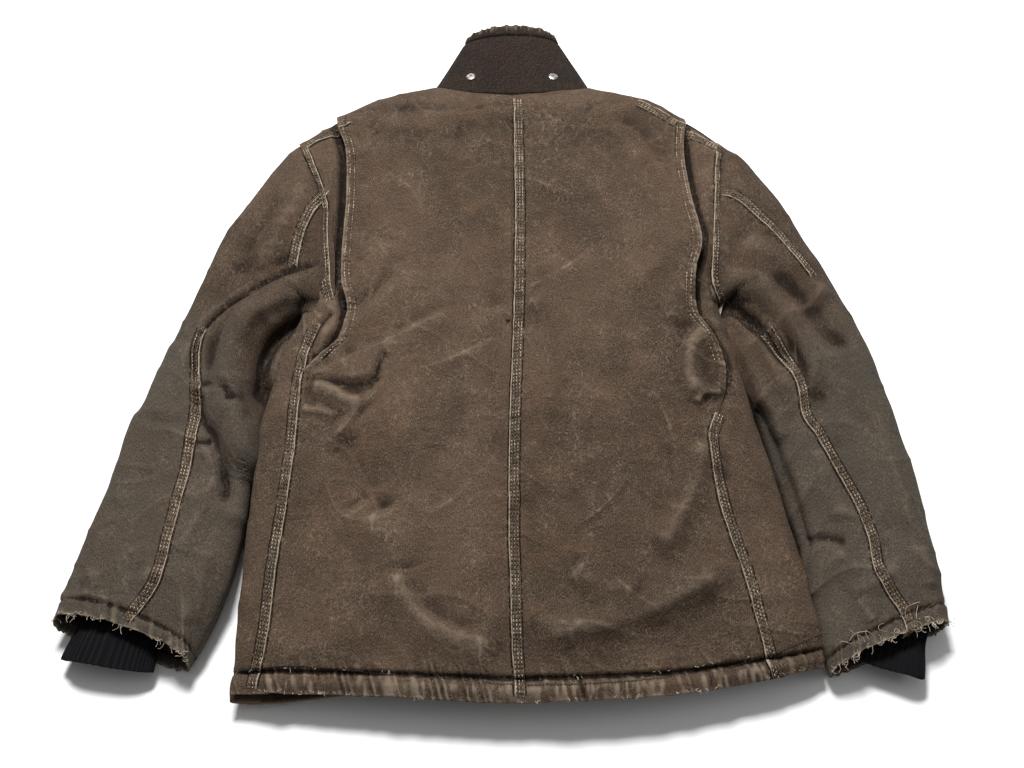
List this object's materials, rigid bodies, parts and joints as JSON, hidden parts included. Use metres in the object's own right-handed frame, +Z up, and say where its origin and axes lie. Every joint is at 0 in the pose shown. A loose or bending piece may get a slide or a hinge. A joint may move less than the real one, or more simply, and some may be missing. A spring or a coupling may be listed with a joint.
{
  "type": "lined canvas work jacket",
  "caption": "Worn lined canvas work jacket lying face down, with pleated back, turned-up snap collar, front zip, patch pockets and knit cuffs.",
  "frame": {"origin": "under the middle of the jacket, on the surface it lies on", "axes": "+Y from the hem to the collar, +X to the wearer's right, +Z up out of the back"},
  "size_m": [0.9328, 0.876, 0.083],
  "materials": {
    "back_panel_left": "worn duck canvas",
    "back_panel_right": "worn duck canvas",
    "chest_flap_left": "worn duck canvas",
    "chest_flap_right": "worn duck canvas",
    "chest_pocket_left": "worn duck canvas",
    "chest_pocket_right": "worn duck canvas",
    "collar_facing": "corduroy",
    "collar_outer": "worn duck canvas",
    "front_panel_left": "worn duck canvas",
    "front_panel_right": "worn duck canvas",
    "hanger_loop": "woven tape",
    "hood_snap_back_left": "worn nickel plate",
    "hood_snap_back_right": "worn nickel plate",
    "hood_snap_left": "worn nickel plate",
    "hood_snap_right": "worn nickel plate",
    "inner_pocket": "quilted nylon",
    "knit_cuff_left": "rib knit",
    "knit_cuff_right": "rib knit",
    "lining_back_left": "quilted nylon",
    "lining_back_right": "quilted nylon",
    "lining_front_left": "quilted nylon",
    "lining_front_right": "quilted nylon",
    "lining_side_left": "quilted nylon",
    "lining_side_right": "quilted nylon",
    "lower_pocket_left": "worn duck canvas",
    "lower_pocket_right": "worn duck canvas",
    "pleat_panel_left": "worn duck canvas",
    "pleat_panel_right": "worn duck canvas",
    "side_panel_left": "worn duck canvas",
    "side_panel_right": "worn duck canvas",
    "sleeve_left_outer": "worn duck canvas",
    "sleeve_left_under": "worn duck canvas",
    "sleeve_lining_left_outer": "quilted nylon",
    "sleeve_lining_left_under": "quilted nylon",
    "sleeve_lining_right_outer": "quilted nylon",
    "sleeve_lining_right_under": "quilted nylon",
    "sleeve_right_outer": "worn duck canvas",
    "sleeve_right_under": "worn duck canvas",
    "wind_flap": "worn duck canvas",
    "zip_box": "dull brass",
    "zip_chain_left": "dull brass",
    "zip_chain_right": "dull brass",
    "zip_pull": "dull brass",
    "zip_slider": "dull brass",
    "zip_tape_left": "woven tape",
    "zip_tape_right": "woven tape",
    "zip_top_stop_left": "dull brass",
    "zip_top_stop_right": "dull brass"
  },
  "bodies": {
    "jacket": {"back_panel_left": "back_panel_left", "back_panel_right": "back_panel_right", "chest_pocket_left": "chest_pocket_left", "chest_pocket_right": "chest_pocket_right", "collar_facing": "collar_facing", "collar_outer": "collar_outer", "front_panel_left": "front_panel_left", "front_panel_right": "front_panel_right", "hanger_loop": "hanger_loop", "hood_snap_back_left": "hood_snap_back_left", "hood_snap_back_right": "hood_snap_back_right", "hood_snap_left": "hood_snap_left", "hood_snap_right": "hood_snap_right", "inner_pocket": "inner_pocket", "lining_back_left": "lining_back_left", "lining_back_right": "lining_back_right", "lining_front_left": "lining_front_left", "lining_front_right": "lining_front_right", "lining_side_left": "lining_side_left", "lining_side_right": "lining_side_right", "lower_pocket_left": "lower_pocket_left", "lower_pocket_right": "lower_pocket_right", "pleat_panel_left": "pleat_panel_left", "pleat_panel_right": "pleat_panel_right", "side_panel_left": "side_panel_left", "side_panel_right": "side_panel_right", "wind_flap": "wind_flap", "zip_box": "zip_box", "zip_chain_left": "zip_chain_left", "zip_chain_right": "zip_chain_right", "zip_tape_left": "zip_tape_left", "zip_tape_right": "zip_tape_right", "zip_top_stop_left": "zip_top_stop_left", "zip_top_stop_right": "zip_top_stop_right"},
    "left_sleeve": {"sleeve_left_outer": "sleeve_left_outer", "sleeve_left_under": "sleeve_left_under", "sleeve_lining_left_outer": "sleeve_lining_left_outer", "sleeve_lining_left_under": "sleeve_lining_left_under", "knit_cuff_left": "knit_cuff_left"},
    "right_sleeve": {"sleeve_right_outer": "sleeve_right_outer", "sleeve_right_under": "sleeve_right_under", "sleeve_lining_right_outer": "sleeve_lining_right_outer", "sleeve_lining_right_under": "sleeve_lining_right_under", "knit_cuff_right": "knit_cuff_right"},
    "slider": {"zip_slider": "zip_slider"},
    "pull": {"zip_pull": "zip_pull"},
    "left_chest_flap": {"chest_flap_left": "chest_flap_left"},
    "right_chest_flap": {"chest_flap_right": "chest_flap_right"}
  },
  "joints": [
    {"name": "left_shoulder", "type": "hinge", "parent": "jacket", "child": "left_sleeve", "pos_m": [-0.262, 0.248, 0.045], "axis": [0, 0, -1], "range_deg": [0, 35]},
    {"name": "right_shoulder", "type": "hinge", "parent": "jacket", "child": "right_sleeve", "pos_m": [0.262, 0.248, 0.045], "axis": [0, 0, 1], "range_deg": [0, 35]},
    {"name": "zip_slide", "type": "slide", "parent": "jacket", "child": "slider", "axis": [0, -1, 0], "range_m": [0, 0.64]},
    {"name": "pull_hinge", "type": "hinge", "parent": "slider", "child": "pull", "pos_m": [0, 0.237, 0.0089], "axis": [1, 0, 0], "range_deg": [0, 150]},
    {"name": "left_flap_hinge", "type": "hinge", "parent": "jacket", "child": "left_chest_flap", "pos_m": [-0.145, 0.18, 0.00995], "axis": [1, 0, 0], "range_deg": [0, 150]},
    {"name": "right_flap_hinge", "type": "hinge", "parent": "jacket", "child": "right_chest_flap", "pos_m": [0.145, 0.18, 0.00995], "axis": [1, 0, 0], "range_deg": [0, 150]}
  ]
}
